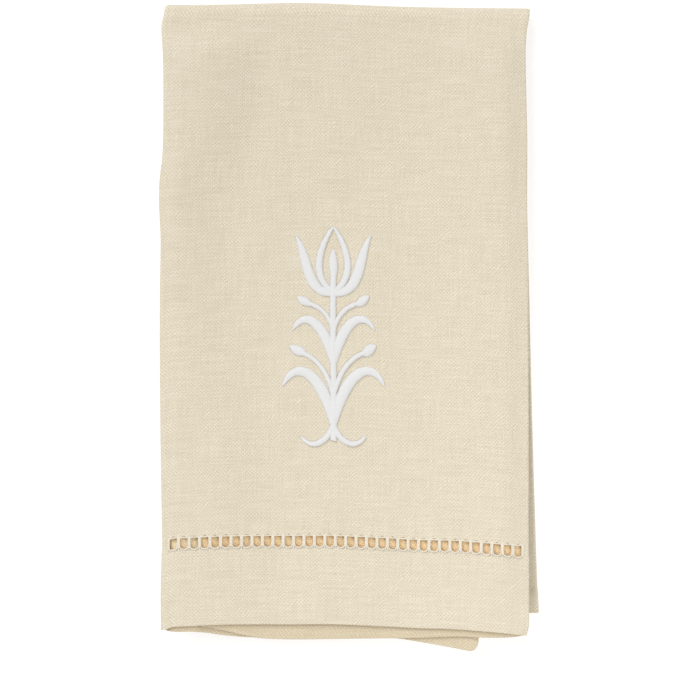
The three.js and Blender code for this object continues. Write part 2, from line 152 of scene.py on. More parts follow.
@dataclass(frozen=True)
class TowelFold:
    """The folded cloth's shape: three layers across, doubled over at the top."""

    cloth_thickness: float = 0.5
    hem_thickness: float = 0.85
    layer_pitch: float = 1.15
    inner_radius: float = 1.6

    left_edge: float = -67.95
    right_edge: float = 64.25
    right_flap_width: float = 117.85
    left_flap_width: float = 114.05
    top_edge: float = 116.2
    top_tilt: float = 1.3
    top_hump: float = 1.2
    top_hump_at: float = 0.38
    top_hump_over: float = 0.2
    hem_line_left: float = -109.2
    hem_line_right: float = -111.2
    back_hem_line: float = -103.6
    back_skew: float = 3.9
    back_skew_power: float = 2.1
    left_fold: Rows = (
        (-110, 0.4), (-92, 0.45), (-80, 0.75), (-55, 0.4), (-26, 0), (10, -0.1), (31, 0.2), (44, -0.35),
        (53, -0.15), (60, 0.7), (67, 1.1), (96, 1.1), (105, 0.5), (108, 0.3), (113, 1.3), (116, 1.6),
    )
    right_fold: Rows = (
        (-111.5, -1.1), (-110, -0.45), (-107.5, -0.1), (-104, 0), (0, -0.1), (31, -0.35), (46, -0.55),
        (67, -0.5), (96, -1.1), (105, -0.8), (111, 0.2), (116, 0.9),
    )

    front_hem_edge: Rows = (
        (0, 0), (3, 1.2), (9, 1.6), (22, 2.3), (45, 2.6), (60, 2.9), (78, 2.5), (92, 2.0), (106, 1.9),
        (120, 1.1), (132.2, 0.1),
    )
    right_flap_edge: Rows = (
        (0, 0), (4, -0.6), (14, -0.75), (24, -0.4), (38, -1.0), (60, -1.25), (82, -1.55), (94, -1.2),
        (100, -0.3), (108, 1.5), (115.5, 3.0),
    )
    left_flap_edge: Rows = (
        (0, 0), (3, -0.5), (6.5, -0.7), (10, -0.55), (16, -1.1), (24, -2.2), (34, -2.9), (60, -3.0),
        (82, -3.1), (94, -4.7), (104, -6.4), (109, -7.35), (111.4, -7.65), (112.7, -7.1), (113.55, -6.0),
        (114.05, -4.2),
    )
    edge_shape_fade: float = 1.5

    roll_height: float = 2.9
    roll_grows_by: float = 0.4
    roll_grows_from: Pair = (0.0, 60.0)
    roll_at_fold: float = 0.6
    roll_rise: float = 6.5
    roll_fall_at: float = -39.0
    roll_fall_width: float = 26.0
    roll_narrows_by: float = 16.0
    roll_narrows_at: float = 25.0
    roll_narrows_over: float = 45.0
    ridge_height: float = 3.0
    ridge_foot: float = 18.0
    ridge_crest: float = 55.0
    ridge_at_fold: float = 0.4
    relief_fade_start: float = 18.0
    relief_fade_end: float = 6.0
    relief_loss: float = 0.1
    mouth_lift: float = 0.4
    mouth_depth: float = 60.0
    ripple_height: float = 0.1
    ripple_base: float = 2.0
    ripple_margin: float = 9.0
    ripples: tuple[tuple[float, float, float, float], ...] = (
        (0.19, 0.045, 0.0, 1.0), (-0.11, 0.083, 1.7, 1.0), (0.31, -0.052, 0.6, 0.7), (0.05, 0.17, 0.0, 0.6),
    )
    bulge_height: float = 1.5
    bulge_rise: Pair = (1.2, 3.4)
    bulge_fall: Pair = (11.5, 15.0)
    bulge_fade: Pair = (60.0, 120.0)

    side_hem: float = 5.0
    back_hem: float = 8.0
    hem_ramp: float = 0.5
    hem_depth: float = 28.0
    edge_rounding: float = 0.4
    edge_thinning: float = 0.65
    normal_step: float = 0.02
    placing_steps: int = 6

    @property
    def left_turn(self) -> float:
        """Radius of the left fold."""
        return self.layer_pitch

    @property
    def right_turn(self) -> float:
        """Radius of the right fold."""
        return self.layer_pitch / 2

    @property
    def outer_radius(self) -> float:
        """Radius of the outermost layer's turn over the top fold."""
        return self.inner_radius + 2 * self.layer_pitch

    @property
    def left_turn_start(self) -> float:
        """Place across the cloth where the left flap meets its fold."""
        return self.left_flap_width - self.left_turn

    @property
    def front_start(self) -> float:
        """Place across the cloth where the front panel starts."""
        return self.left_turn_start + math.pi * self.left_turn

    @property
    def front_width(self) -> float:
        """Width of the front panel between its two turns."""
        return self.right_edge - self.left_edge - self.left_turn - self.right_turn

    @property
    def right_turn_start(self) -> float:
        """Place across the cloth where the front panel ends."""
        return self.front_start + self.front_width

    @property
    def right_flap_start(self) -> float:
        """Place across the cloth where the right flap leaves its fold."""
        return self.right_turn_start + math.pi * self.right_turn

    @property
    def width(self) -> float:
        """Width of the cloth laid flat."""
        return self.right_flap_start + self.right_flap_width - self.right_turn

    @property
    def arc_line(self) -> float:
        """Height, along Y, of the line that every layer turns over at the top."""
        return self.top_edge - self.outer_radius - self.cloth_thickness / 2

    @property
    def arc_height(self) -> float:
        """Height, along Z, of that line."""
        return self.outer_radius + self.cloth_thickness / 2

    @property
    def front_length(self) -> float:
        """Length of the front half up to the top fold."""
        return self.arc_line - (self.hem_line_left + self.hem_line_right) / 2

    @property
    def arc_length(self) -> float:
        """Length of the middle layer's turn over the top fold."""
        return math.pi * (self.inner_radius + self.layer_pitch)

    @property
    def back_start(self) -> float:
        """Place along the cloth where the back half starts."""
        return self.front_length + self.arc_length

    @property
    def length(self) -> float:
        """Length of the cloth laid flat."""
        return self.back_start + self.arc_line - self.back_hem_line

    def across(self, u: Array) -> Across:
        """Places lines along the cloth in the folded cross-section.

        Args:
            u: places across the cloth.

        Returns:
            Each line's panel, its share of the way from the left fold to the right one and its
            offset there, its depth behind the front layer, and how far into its panel it lies.
        """
        within = [
            u < self.left_turn_start,
            u < self.front_start,
            u <= self.right_turn_start,
            u < self.right_flap_start,
        ]
        left_reach = self.left_turn + self.left_turn_start - u
        left_angle = (u - self.left_turn_start) / self.left_turn
        front_share = (u - self.front_start) / self.front_width
        right_angle = (u - self.right_turn_start) / self.right_turn
        right_reach = self.right_turn + u - self.right_flap_start
        left_shift, left_back = 1 - np.sin(left_angle), 1 + np.cos(left_angle)
        right_shift, right_back = np.sin(right_angle) - 1, 1 - np.cos(right_angle)
        front_offset = lerp(self.left_turn, -self.right_turn, front_share)
        rows = [
            (Panel.LEFT_FLAP.value, 0.0, left_reach, 2 * self.layer_pitch, left_reach),
            (Panel.LEFT_TURN.value, 0.0, self.left_turn * left_shift, self.left_turn * left_back, 0.0),
            (Panel.FRONT.value, front_share, front_offset, 0.0, front_share),
            (Panel.RIGHT_TURN.value, 1.0, self.right_turn * right_shift, self.right_turn * right_back, 0.0),
            (Panel.RIGHT_FLAP.value, 1.0, -right_reach, self.layer_pitch, right_reach),
        ]
        return Across(*(np.select(within, column[:-1], column[-1]) for column in zip(*rows)))

    def edge_shape(self, place: Across) -> Array:
        """Shapes the lower edge of each layer.

        Args:
            place: where lines along the cloth lie in the folded cross-section.

        Returns:
            How far each line's lower end lies above the line between the two folds.
        """
        front = curve_at(self.front_hem_edge, place.reach * (self.right_edge - self.left_edge))
        shapes = {
            Panel.FRONT: front,
            Panel.RIGHT_FLAP: curve_at(self.right_flap_edge, place.reach),
            Panel.LEFT_FLAP: curve_at(self.left_flap_edge, place.reach),
        }
        return np.select([place.panel == p.value for p in shapes], list(shapes.values()), 0.0)

    def relief(self, x: Array, y: Array, left: Array, right: Array) -> Array:
        """Models the front layers' soft roll, ridge and ripples.

        Args:
            x: positions to the right.
            y: positions towards the top fold.
            left: where the left fold lies at each of them.
            right: where the right fold lies at each of them.

        Returns:
            Their heights over the flat layer.
        """
        narrowing = np.exp(-(((y - self.roll_narrows_at) / self.roll_narrows_over) ** 2))
        fall_at = self.roll_fall_at - self.roll_narrows_by * narrowing
        half = self.roll_fall_width / 2
        roll = lerp(self.roll_at_fold, 1.0, smoothstep(x, left, left + self.roll_rise))
        roll = roll * (1 - smoothstep(x, fall_at - half, fall_at + half))
        beyond = smoothstep(x, self.ridge_crest, right)
        ridge = smoothstep(x, self.ridge_foot, self.ridge_crest) * lerp(1, self.ridge_at_fold, beyond)
        below_top = self.top_edge - y
        fade = smoothstep(below_top, self.relief_fade_end, self.relief_fade_start)
        ripple = sum(share * np.sin(a * x + b * y + start) for a, b, start, share in self.ripples)
        margin = self.ripple_margin
        inside = smoothstep(x, left, left + margin) * (1 - smoothstep(x, right - margin, right))
        growth = 1 + self.roll_grows_by * smoothstep(y, *self.roll_grows_from)
        height = self.roll_height * growth * roll + self.ridge_height * ridge
        return (height + self.ripple_height * (ripple + self.ripple_base) * inside) * fade

    def thickness(self, u: Array, v: Array) -> Array:
        """Measures the cloth, which is doubled along its hems and rounded at its edges.

        Args:
            u: places across the cloth.
            v: places along the cloth.

        Returns:
            Its thickness at each place.
        """
        borders = [
            (u, self.side_hem),
            (self.width - u, self.side_hem),
            (v, self.hem_depth),
            (self.length - v, self.back_hem),
        ]
        inward = [smoothstep(distance, hem, hem + self.hem_ramp) for distance, hem in borders]
        full = lerp(self.hem_thickness, self.cloth_thickness, np.minimum.reduce(inward))
        to_edge = np.minimum.reduce([distance for distance, _ in borders])
        share = np.clip(to_edge / self.edge_rounding, 0.0, 1.0)
        return full * (1 - self.edge_thinning * (1 - np.sqrt(1 - (1 - share) ** 2)))

    def point(self, u: Array, v: Array) -> Array:
        """Finds the middle of the cloth.

        Args:
            u: places across the cloth.
            v: places along the cloth, as many.

        Returns:
            Their positions, one row of X, Y and Z each.
        """
        place = self.across(u)
        radius = self.outer_radius - place.depth
        hump = self.top_hump * np.exp(-(((place.mix - self.top_hump_at) / self.top_hump_over) ** 2))
        arc_line = self.arc_line - self.top_tilt * place.mix + hump
        behind = v > self.back_start

        angle = np.clip((v - self.front_length) / self.arc_length, 0.0, 1.0) * math.pi
        share = np.clip(v / self.front_length, 0.0, 1.0)
        hem_line = lerp(self.hem_line_left, self.hem_line_right, place.mix)
        shape = self.edge_shape(place) * (1 - share**self.edge_shape_fade)
        y_front = lerp(hem_line, arc_line, share) + shape + radius * np.sin(angle)
        back_share = np.clip((v - self.back_start) / (self.length - self.back_start), 0.0, 1.0)
        y = np.where(behind, lerp(arc_line, self.back_hem_line, back_share), y_front)

        skew = self.back_skew * back_share**self.back_skew_power
        left = self.left_edge + curve_at(self.left_fold, y) + skew
        right = self.right_edge + curve_at(self.right_fold, y) + skew
        x = lerp(left, right, place.mix) + place.offset

        behind_share = 1 - self.relief_loss * place.depth / self.layer_pitch
        mouth = np.sin(math.pi * place.reach) ** 2 * (1 - smoothstep(v, 0, self.mouth_depth))
        lift = self.relief(x, y, left, right) * behind_share
        bulge = smoothstep(place.reach, *self.bulge_rise) * (1 - smoothstep(place.reach, *self.bulge_fall))
        bulge = bulge * (1 - smoothstep(v, *self.bulge_fade))
        lift = lift + np.where(place.panel == Panel.FRONT.value, mouth * self.mouth_lift, 0.0)
        lift = lift + np.where(place.panel == Panel.LEFT_FLAP.value, bulge * self.bulge_height, 0.0)
        hem_lift = (self.thickness(np.full_like(u, self.width / 2), v) - self.cloth_thickness) / 2
        z = self.arc_height + radius * np.cos(angle) + np.where(behind, np.maximum(hem_lift, 0.0), lift)
        return np.stack([x, y, z], axis=-1)

    def normal(self, u: Array, v: Array) -> Array:
        """Finds the directions that the cloth's right side faces.

        Args:
            u: places across the cloth.
            v: places along the cloth.

        Returns:
            One unit vector for each place.
        """
        reach = self.normal_step
        step_u = self.point(np.minimum(u + reach, self.width), v) - self.point(np.maximum(u - reach, 0), v)
        step_v = self.point(u, np.minimum(v + reach, self.length)) - self.point(u, np.maximum(v - reach, 0))
        normal = np.cross(step_u, step_v)
        return normal / np.linalg.norm(normal, axis=-1, keepdims=True)

    def surface(self, u: Array, v: Array, above: Array) -> Array:
        """Finds points on or above the cloth's right side.

        Args:
            u: places across the cloth.
            v: places along the cloth.
            above: heights over the surface.

        Returns:
            Their positions.
        """
        height = self.thickness(u, v) / 2 + above
        return self.point(u, v) + self.normal(u, v) * height[..., None]

    def front_place(self, x: Array, y: Array) -> tuple[Array, Array]:
        """Finds the places on the front panel under given points.

        Args:
            x: positions to the right.
            y: positions towards the top fold.

        Returns:
            The places across and along the cloth.
        """
        u = self.front_start + x - self.left_edge - self.left_turn
        v = y - self.hem_line_left
        for _ in range(self.placing_steps):
            found = self.point(u, v)
            u = u + x - found[..., 0]
            v = v + y - found[..., 1]
        return u, v


def filled(stops: Array, spacing: float) -> Array:
    """Adds evenly spaced values wherever two stops lie too far apart.

    Args:
        stops: values that have to be kept.
        spacing: greatest distance between two results.

    Returns:
        The stops and the added values, in order.
    """
    stops = np.unique(np.round(stops, 4))
    parts = []
    for low, high in zip(stops, stops[1:]):
        parts.append(np.linspace(low, high, math.ceil((high - low) / spacing), endpoint=False))
    return np.concatenate([*parts, stops[-1:]])


def grid_faces(rows: int, columns: int, wrap: bool) -> Array:
    """Numbers the faces of a grid of points.

    Args:
        rows: rows of points.
        columns: points in a row.
        wrap: whether the last column joins the first.

    Returns:
        Rows of four point numbers.
    """
    wide = columns if wrap else columns - 1
    row, column = np.meshgrid(np.arange(rows - 1), np.arange(wide), indexing="ij")
    beside = (column + 1) % columns
    above = (row + 1) * columns
    corners = [row * columns + column, row * columns + beside, above + beside, above + column]
    return np.stack([c.ravel() for c in corners], axis=1)


def closed_tube_faces(rings: int, sides: int) -> Array:
    """Numbers the faces of a tube with closed ends.

    Args:
        rings: rings of points along it.
        sides: points in a ring.

    Returns:
        Rows of four point numbers.
    """
    walls = grid_faces(rings, sides, True)[:, ::-1]
    first = np.arange(sides)
    last = first + (rings - 1) * sides
    caps = [[f[0], f[i], f[i + 1], f[i + 2]] for f in (first, last[::-1]) for i in range(1, sides - 2, 2)]
    return np.concatenate([walls, caps])


def linked(name: str, data: bpy.types.ID) -> Object:
    """Adds an object to the scene.

    Args:
        name: its name.
        data: its mesh, light or camera.

    Returns:
        The object.
    """
    obj = bpy.data.objects.new(name, data)
    bpy.context.scene.collection.objects.link(obj)
    return obj


@dataclass
class MeshParts:
    """Points, faces, cloth coordinates and painted light and shade gathered for one mesh."""

    points: list[Array] = field(default_factory=list)
    faces: list[Array] = field(default_factory=list)
    coordinates: list[Array] = field(default_factory=list)
    painted_lights: list[Array] = field(default_factory=list)
    count: int = 0

    def add(
        self, points: Array, faces: Array, coordinates: Array, painted_lights: Array | None = None
    ) -> None:
        """Adds a piece of mesh.

        Args:
            points: positions in millimetres.
            faces: rows of four point numbers, counted from the piece's own first.
            coordinates: two coordinates in millimetres for each point.
            painted_lights: painted light and shade for each point, a linear colour that its finish is
                multiplied by, white if not given.
        """
        self.points.append(points)
        self.faces.append(faces + self.count)
        self.coordinates.append(coordinates)
        self.painted_lights.append(np.ones((len(points), 3)) if painted_lights is None else painted_lights)
        self.count += len(points)

    def tube(self, path: Array, up: Array, radius: float, sides: int, painted_light: Shade) -> None:
        """Adds a round thread along a path, with closed ends.

        Args:
            path: points of its middle.
            up: direction at each point that the cloth faces there.
            radius: its radius.
            sides: faces around it.
            painted_light: painted shade, a colour that its finish is multiplied by.
        """
        tangent = np.gradient(path, axis=0)
        tangent /= np.linalg.norm(tangent, axis=1, keepdims=True)
        side = np.cross(tangent, up)
        side /= np.linalg.norm(side, axis=1, keepdims=True)
        rise = np.cross(side, tangent)
        angle = np.arange(sides) * (2 * math.pi / sides)
        ring = side[:, None] * np.cos(angle)[None, :, None] + rise[:, None] * np.sin(angle)[None, :, None]
        points = path[:, None] + ring * radius
        along = np.concatenate([[0.0], np.cumsum(np.linalg.norm(np.diff(path, axis=0), axis=1))])
        around = np.broadcast_to(angle * radius, (len(path), sides))
        coordinates = np.stack([np.broadcast_to(along[:, None], around.shape), around], axis=-1)
        painted_lights = np.tile(painted_light, (len(path) * sides, 1))
        faces = closed_tube_faces(len(path), sides)
        self.add(points.reshape(-1, 3), faces, coordinates.reshape(-1, 2), painted_lights)

    def build(self, name: str, shift: Array, sharp_angle: float) -> Object:
        """Makes the object, smooth but for its sharp edges.

        Args:
            name: name of the object and its mesh.
            shift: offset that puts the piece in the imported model's frame, in millimetres.
            sharp_angle: edges that turn by more than this, in degrees, stay sharp.

        Returns:
            The object, linked to the scene.
        """
        points = (np.concatenate(self.points) + shift) * MM
        faces = np.concatenate(self.faces)
        coordinates = np.concatenate(self.coordinates)
        mesh = bpy.data.meshes.new(name)
        mesh.from_pydata(points.tolist(), [], faces.tolist())
        corners = np.empty(len(mesh.loops), dtype=np.int32)
        mesh.loops.foreach_get("vertex_index", corners)
        layer = mesh.uv_layers.new(name=COORDINATES)
        layer.data.foreach_set("uv", coordinates[corners].astype(np.float32).ravel())
        painted_lights = np.concatenate(self.painted_lights)
        colours = mesh.attributes.new(PAINTED_LIGHT, "FLOAT_COLOR", "POINT")
        colours.data.foreach_set("color", np.c_[painted_lights, np.ones(len(painted_lights))].astype(np.float32).ravel())
        mesh.shade_smooth()
        mesh.set_sharp_from_angle(angle=math.radians(sharp_angle))
        mesh.validate()
        return linked(name, mesh)


@dataclass
class Hemstitch:
    """The drawn-thread row above the deep hem: its holes, the threads that bind them, and a painted shadow
    in the needle slot above each.
    """

    fold: TowelFold
    hole_height: float = 4.0
    hole_width: float = 2.6
    pitch: float = 3.77
    margin: float = 1.55
    count: int = 34
    corner: float = 0.4
    end_depth: float = 0.35
    loop_outside: float = 0.295
    loop_radius: float = 0.29
    loop_flatness: float = 0.9
    loop_past_top: float = 0.5
    loop_past_foot: float = 0.25
    loop_rise: float = 0.1
    loop_side_points: int = 5
    loop_foot_points: int = 9
    bar_radius: float = 0.25
    bar_past_ends: Pair = (0.9, 0.6)
    bar_rise: float = 0.12
    bar_points: int = 8
    bars_past_row: tuple[int, int] = (1, 2)
    top_radius: float = 0.22
    top_past_sides: float = 0.2
    top_wave: float = 0.08
    top_points: int = 7
    pit_radius: float = 0.1
    pit_half: float = 0.55
    pit_above: float = 0.62
    pit_sink: Pair = (-0.08, -0.03)
    # Painted shadow colour of the needle slots.
    pit_painted_shade: Shade = Shade(0.5, 0.38, 0.26)
    sides: int = 8
    sharp_angle: float = 80.0
    parts: MeshParts = field(default_factory=MeshParts)

    def holes(self) -> Array:
        """Returns the left and right side of each hole, as places across the cloth."""
        left = self.fold.front_start + self.margin + np.arange(self.count) * self.pitch
        return np.stack([left, left + self.hole_width], axis=1)

    def thread(
        self, u: Array, v: Array, above: Array, radius: float, painted_light: Shade = WHITE
    ) -> None:
        """Lays one thread on the cloth.

        Args:
            u: places across the cloth along its path.
            v: places along the cloth along its path.
            above: heights of its middle over the cloth's right side.
            radius: its radius.
            painted_light: painted shade, a colour that its finish is multiplied by.
        """
        path = self.fold.surface(u, v, above)
        self.parts.tube(path, self.fold.normal(u, v), radius, self.sides, painted_light)

    def loop(self, left: float, right: float) -> None:
        """Adds the loop that runs down one side of a hole, round its foot and up again.

        Args:
            left: place across the cloth of the hole's left side.
            right: place across the cloth of its right side.
        """
        low = self.fold.hem_depth
        top = low + self.hole_height
        half = (right - left) / 2 + self.loop_outside
        middle = (left + right) / 2
        turn = np.linspace(math.pi, 2 * math.pi, self.loop_foot_points)
        ends = top + self.loop_past_top, low + half * self.loop_flatness
        rise = np.linspace(*ends, self.loop_side_points, endpoint=False)
        out = np.full(len(rise), half)
        out[0] -= self.loop_rise
        u = middle + np.concatenate([-out, half * np.cos(turn), out[::-1]])
        foot = low - self.loop_past_foot + half * self.loop_flatness * (1 + np.sin(turn))
        v = np.concatenate([rise, foot, rise[::-1]])
        above = np.full(len(u), self.loop_rise)
        above[[0, -1]] = -self.end_depth
        above[[1, -2]] = 0.0
        self.thread(u, v, above, self.loop_radius)

    def bar(self, middle: float) -> None:
        """Adds the bundle of drawn threads between two holes.

        Args:
            middle: place across the cloth where it runs.
        """
        below, over = self.bar_past_ends
        low = self.fold.hem_depth
        v = np.linspace(low - below, low + self.hole_height + over, self.bar_points)
        above = np.full_like(v, self.bar_rise)
        above[[0, -1]] = -self.end_depth
        self.thread(np.full_like(v, middle), v, above, self.bar_radius)

    def top_thread(self, left: float, right: float) -> None:
        """Adds the stitch that crosses the top of a hole.

        Args:
            left: place across the cloth of the hole's left side.
            right: place across the cloth of its right side.
        """
        wave = np.sin(np.linspace(0, math.pi, self.top_points))
        u = np.linspace(left - self.top_past_sides, right + self.top_past_sides, self.top_points)
        v = self.fold.hem_depth + self.hole_height + self.top_wave + self.top_wave * wave
        self.thread(u, v, 2 * self.top_wave * wave - self.top_wave, self.top_radius)

    def pit_shadow(self, middle: float) -> None:
        """Adds a short dark thread, a painted shadow in the needle slot just above a hole.

        Args:
            middle: place across the cloth of the hole's middle.
        """
        ends, middles = self.pit_sink
        above = np.array([ends, middles, middles, ends])
        u = np.linspace(middle - self.pit_half, middle + self.pit_half, len(above))
        v = np.full_like(above, self.fold.hem_depth + self.hole_height + self.pit_above)
        self.thread(u, v, above, self.pit_radius, self.pit_painted_shade)

    def build(self, shift: Array) -> Object:
        """Makes the threads of the whole row.

        Args:
            shift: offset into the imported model's frame, in millimetres.

        Returns:
            The threads as one object.
        """
        holes = self.holes()
        for left, right in holes:
            self.loop(left, right)
            self.top_thread(left, right)
            # A painted shadow in the needle slot above each hole.
            self.pit_shadow((left + right) / 2)
        gap = self.pitch - self.hole_width
        first = holes[0, 0] - gap / 2
        before, after = self.bars_past_row
        for index in range(-before, len(holes) + after):
            self.bar(first + index * self.pitch)
        return self.parts.build("hemstitch_threads", shift, self.sharp_angle)


@dataclass
class TowelCloth:
    """The linen itself, as one folded sheet with its hems and its hemstitch holes, and painted light and
    shade on its wrong side.
    """

    fold: TowelFold
    hemstitch: Hemstitch
    column_spacing: float = 2.0
    row_spacing: float = 3.2
    edge_stops: tuple[float, ...] = (0.0, 0.1, 0.25, 0.4, 0.9, 1.5, 2.3, 3.4)
    fold_stops: tuple[float, ...] = (0.3, 0.75, 1.2, 1.65, 2.1, 2.55)
    left_turn_columns: int = 13
    right_turn_columns: int = 11
    bulge_columns: int = 6
    arc_rows: int = 15
    row_above_holes: float = 1.0
    sharp_angle: float = 50.0
    # Painted shade on the wrong side at the hem's mouth, and painted light deeper between the layers and by
    # the left fold.
    mouth_painted_shade: Shade = Shade(0.93, 0.88, 0.80)
    inner_painted_light: Shade = Shade(1.3, 1.12, 0.88)
    fold_painted_light: Shade = Shade(1.36, 1.24, 1.05)
    painted_light_from: Pair = (9.0, 24.0)
    fold_painted_light_reach: float = 16.0

    def columns(self) -> Array:
        """Chooses the places across the cloth where the mesh has points.

        Returns:
            The places, in order.
        """
        fold = self.fold
        edge = [*self.edge_stops, fold.side_hem, fold.side_hem + fold.hem_ramp]
        turns = [
            *np.linspace(fold.left_turn_start, fold.front_start, self.left_turn_columns),
            *np.linspace(fold.right_turn_start, fold.right_flap_start, self.right_turn_columns),
            *(fold.left_turn_start - np.array(self.fold_stops)),
            *(fold.left_turn_start + fold.left_turn - np.linspace(*fold.bulge_fall, self.bulge_columns)),
        ]
        stops = [*edge, *(fold.width - np.array(edge)), *turns, *self.hemstitch.holes().ravel()]
        return filled(np.array(stops), self.column_spacing)

    def rows(self) -> Array:
        """Chooses the places along the cloth where the mesh has points.

        Returns:
            The places, in order.
        """
        fold = self.fold
        edge = np.array(self.edge_stops[:4])
        hole_top = fold.hem_depth + self.hemstitch.hole_height
        stops = [
            *edge,
            *(fold.length - edge),
            fold.hem_depth,
            fold.hem_depth + fold.hem_ramp,
            hole_top,
            hole_top + self.row_above_holes,
            *np.linspace(fold.front_length, fold.back_start, self.arc_rows),
            fold.length - fold.back_hem - fold.hem_ramp,
            fold.length - fold.back_hem,
        ]
        return filled(np.array(stops), self.row_spacing)

    def build(self, cad_centre: Array) -> tuple[Object, Array]:
        """Makes the folded cloth.

        Args:
            cad_centre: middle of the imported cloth, seen from above, in millimetres.

        Returns:
            The cloth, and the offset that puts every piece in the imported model's frame.
        """
        columns = self.columns()
        rows = self.rows()
        u, v = self.rounded(*(a.ravel() for a in np.meshgrid(columns, rows)))
        middle = self.fold.point(u, v)
        offset = self.fold.normal(u, v) * (self.fold.thickness(u, v) / 2)[:, None]
        points = np.concatenate([middle + offset, middle - offset])

        faces = grid_faces(len(rows), len(columns), False)
        faces = faces[~self.in_hole(u[faces].mean(axis=1), v[faces].mean(axis=1))]
        count = len(u)
        edges = np.concatenate([faces[:, [i, (i + 1) % 4]] for i in range(4)])
        keys = edges[:, 0] * count + edges[:, 1]
        opposite = edges[:, 1] * count + edges[:, 0]
        rim = edges[~np.isin(keys, opposite)]
        walls = np.stack([rim[:, 1], rim[:, 0], rim[:, 0] + count, rim[:, 1] + count], axis=1)
        used = np.unique(faces)
        keep = np.full(2 * count, -1)
        kept = np.concatenate([used, used + count])
        keep[kept] = np.arange(len(kept))

        raw = points[kept]
        centre = (raw.min(axis=0) + raw.max(axis=0)) / 2
        shift = np.array([cad_centre[0] - centre[0], cad_centre[1] - centre[1], 0.0])
        coordinates = np.stack([np.tile(u, 2), np.tile(v, 2)], axis=1)[kept]
        # The right side gets no painted light; the wrong side gets painted shade at the mouth and painted
        # light between the layers.
        painted_lights = np.concatenate([np.ones((count, 3)), self.wrong_side_painted_light(u, v)])[kept]
        parts = MeshParts()
        all_faces = np.concatenate([faces, faces[:, ::-1] + count, walls])
        parts.add(raw, keep[all_faces], coordinates, painted_lights)
        return parts.build("linen_cloth", shift, self.sharp_angle), shift

    def wrong_side_painted_light(self, u: Array, v: Array) -> Array:
        """Paints light and shade onto the cloth's wrong side: painted shade where it shows at the hem's
        mouth, and warm painted light, a glow between the layers, deeper in and brightest by the left fold.

        Args:
            u: places across the cloth.
            v: places along the cloth.

        Returns:
            A linear colour for each place, painted light and shade that its finish is multiplied by.
        """
        fold = self.fold
        at_fold = (u > fold.left_turn_start - self.fold_painted_light_reach) & (u < fold.front_start)
        inner = np.where(at_fold[:, None], np.array(self.fold_painted_light), np.array(self.inner_painted_light))
        return lerp(np.array(self.mouth_painted_shade), inner, smoothstep(v, *self.painted_light_from)[:, None])

    def rounded(self, u: Array, v: Array) -> tuple[Array, Array]:
        """Draws the lower corners of the hemstitch holes in, so that each hole has a round foot.

        Args:
            u: places across the cloth.
            v: places along the cloth.

        Returns:
            The same places, with those corners moved.
        """
        low = np.abs(v - self.fold.hem_depth) < 1e-3
        left, right = (np.isin(np.round(u, 3), np.round(side, 3)) for side in self.hemstitch.holes().T)
        inward = self.hemstitch.corner
        moved = np.where(low & left, inward, np.where(low & right, -inward, 0.0))
        return u + moved, v + np.abs(moved)

    def in_hole(self, u: Array, v: Array) -> Array:
        """Tells places inside a hemstitch hole from the others.

        Args:
            u: places across the cloth.
            v: places along the cloth.

        Returns:
            True for each place inside a hole.
        """
        low = self.fold.hem_depth
        holes = self.hemstitch.holes()
        nearest = np.clip(np.searchsorted(holes[:, 0], u) - 1, 0, len(holes) - 1)
        across = (u > holes[nearest, 0]) & (u < holes[nearest, 1])
        return across & (v > low) & (v < low + self.hemstitch.hole_height)


class Stitched(NamedTuple):
    """One satin-stitched shape of the sprig: a curve by its four points, from the sprig's centre."""

    name: str
    curve: Rows
    half: float
    taper: float


